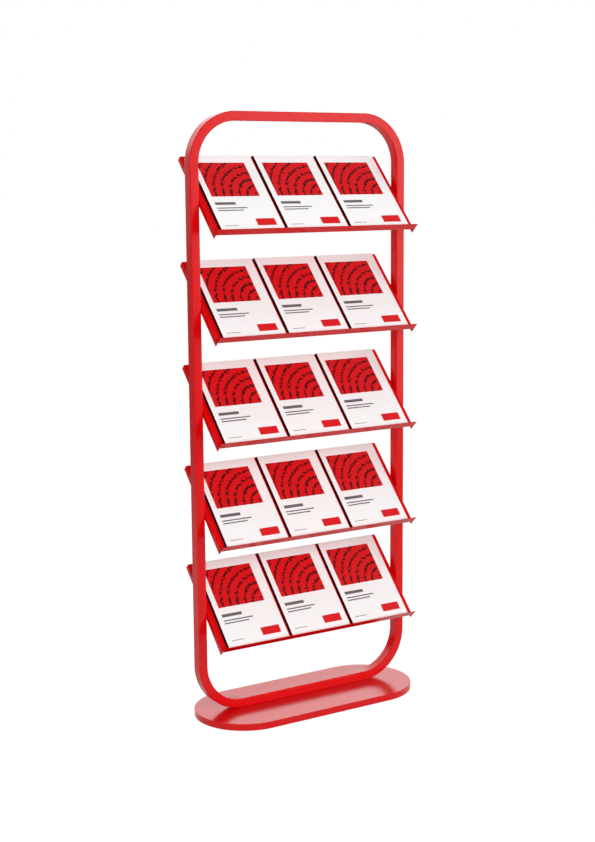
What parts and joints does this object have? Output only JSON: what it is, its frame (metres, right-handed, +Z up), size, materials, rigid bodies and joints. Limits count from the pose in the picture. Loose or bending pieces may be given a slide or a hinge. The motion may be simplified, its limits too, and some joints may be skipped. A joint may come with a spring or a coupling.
{
  "type": "periodical display rack",
  "caption": "Free-standing rack: a round-cornered tube loop on a flat base carries sloping lipped trays that show flat periodicals.",
  "frame": {"origin": "on the floor under the middle of the base", "axes": "+Z up, -Y to the front where the covers face, +X to the right as seen from the front"},
  "size_m": [0.75, 0.314, 1.804],
  "materials": {
    "red_coat": "glossy red powder coat",
    "zinc_steel": "zinc-plated steel",
    "black_rubber": "matt black",
    "printed_paper": "coated white cover with plain printed blocks"
  },
  "bodies": {
    "rack": {"left_post": "red_coat", "right_post": "red_coat", "top_bow": "red_coat", "bottom_bow": "red_coat", "base_pan": "red_coat", "base_rib_left": "red_coat", "base_rib_right": "red_coat", "tray_1": "red_coat", "tray_2": "red_coat", "tray_3": "red_coat", "tray_4": "red_coat", "tray_5": "red_coat", "clamp_plate": "zinc_steel", "tray_1_screw_left_front": "zinc_steel", "tray_1_screw_left_back": "zinc_steel", "tray_1_screw_right_front": "zinc_steel", "tray_1_screw_right_back": "zinc_steel", "tray_2_screw_left_front": "zinc_steel", "tray_2_screw_left_back": "zinc_steel", "tray_2_screw_right_front": "zinc_steel", "tray_2_screw_right_back": "zinc_steel", "tray_3_screw_left_front": "zinc_steel", "tray_3_screw_left_back": "zinc_steel", "tray_3_screw_right_front": "zinc_steel", "tray_3_screw_right_back": "zinc_steel", "tray_4_screw_left_front": "zinc_steel", "tray_4_screw_left_back": "zinc_steel", "tray_4_screw_right_front": "zinc_steel", "tray_4_screw_right_back": "zinc_steel", "tray_5_screw_left_front": "zinc_steel", "tray_5_screw_left_back": "zinc_steel", "tray_5_screw_right_front": "zinc_steel", "tray_5_screw_right_back": "zinc_steel", "base_bolt_1": "zinc_steel", "base_bolt_2": "zinc_steel", "base_bolt_3": "zinc_steel", "base_bolt_4": "zinc_steel", "pad_front_left": "black_rubber", "pad_back_left": "black_rubber", "pad_front_right": "black_rubber", "pad_back_right": "black_rubber"},
    "periodical_1_1": {"periodical_1_1": "printed_paper"},
    "periodical_1_2": {"periodical_1_2": "printed_paper"},
    "periodical_1_3": {"periodical_1_3": "printed_paper"},
    "periodical_2_1": {"periodical_2_1": "printed_paper"},
    "periodical_2_2": {"periodical_2_2": "printed_paper"},
    "periodical_2_3": {"periodical_2_3": "printed_paper"},
    "periodical_3_1": {"periodical_3_1": "printed_paper"},
    "periodical_3_2": {"periodical_3_2": "printed_paper"},
    "periodical_3_3": {"periodical_3_3": "printed_paper"},
    "periodical_4_1": {"periodical_4_1": "printed_paper"},
    "periodical_4_2": {"periodical_4_2": "printed_paper"},
    "periodical_4_3": {"periodical_4_3": "printed_paper"},
    "periodical_5_1": {"periodical_5_1": "printed_paper"},
    "periodical_5_2": {"periodical_5_2": "printed_paper"},
    "periodical_5_3": {"periodical_5_3": "printed_paper"}
  },
  "joints": [
    {"name": "periodical_1_1_lift", "type": "slide", "parent": "rack", "child": "periodical_1_1", "axis": [0, 0.682, 0.7314], "range_m": [0, 0.3]},
    {"name": "periodical_1_2_lift", "type": "slide", "parent": "rack", "child": "periodical_1_2", "axis": [0, 0.682, 0.7314], "range_m": [0, 0.3]},
    {"name": "periodical_1_3_lift", "type": "slide", "parent": "rack", "child": "periodical_1_3", "axis": [0, 0.682, 0.7314], "range_m": [0, 0.3]},
    {"name": "periodical_2_1_lift", "type": "slide", "parent": "rack", "child": "periodical_2_1", "axis": [0, 0.682, 0.7314], "range_m": [0, 0.3]},
    {"name": "periodical_2_2_lift", "type": "slide", "parent": "rack", "child": "periodical_2_2", "axis": [0, 0.682, 0.7314], "range_m": [0, 0.3]},
    {"name": "periodical_2_3_lift", "type": "slide", "parent": "rack", "child": "periodical_2_3", "axis": [0, 0.682, 0.7314], "range_m": [0, 0.3]},
    {"name": "periodical_3_1_lift", "type": "slide", "parent": "rack", "child": "periodical_3_1", "axis": [0, 0.682, 0.7314], "range_m": [0, 0.3]},
    {"name": "periodical_3_2_lift", "type": "slide", "parent": "rack", "child": "periodical_3_2", "axis": [0, 0.682, 0.7314], "range_m": [0, 0.3]},
    {"name": "periodical_3_3_lift", "type": "slide", "parent": "rack", "child": "periodical_3_3", "axis": [0, 0.682, 0.7314], "range_m": [0, 0.3]},
    {"name": "periodical_4_1_lift", "type": "slide", "parent": "rack", "child": "periodical_4_1", "axis": [0, 0.682, 0.7314], "range_m": [0, 0.3]},
    {"name": "periodical_4_2_lift", "type": "slide", "parent": "rack", "child": "periodical_4_2", "axis": [0, 0.682, 0.7314], "range_m": [0, 0.3]},
    {"name": "periodical_4_3_lift", "type": "slide", "parent": "rack", "child": "periodical_4_3", "axis": [0, 0.682, 0.7314], "range_m": [0, 0.3]},
    {"name": "periodical_5_1_lift", "type": "slide", "parent": "rack", "child": "periodical_5_1", "axis": [0, 0.682, 0.7314], "range_m": [0, 0.3]},
    {"name": "periodical_5_2_lift", "type": "slide", "parent": "rack", "child": "periodical_5_2", "axis": [0, 0.682, 0.7314], "range_m": [0, 0.3]},
    {"name": "periodical_5_3_lift", "type": "slide", "parent": "rack", "child": "periodical_5_3", "axis": [0, 0.682, 0.7314], "range_m": [0, 0.3]}
  ]
}
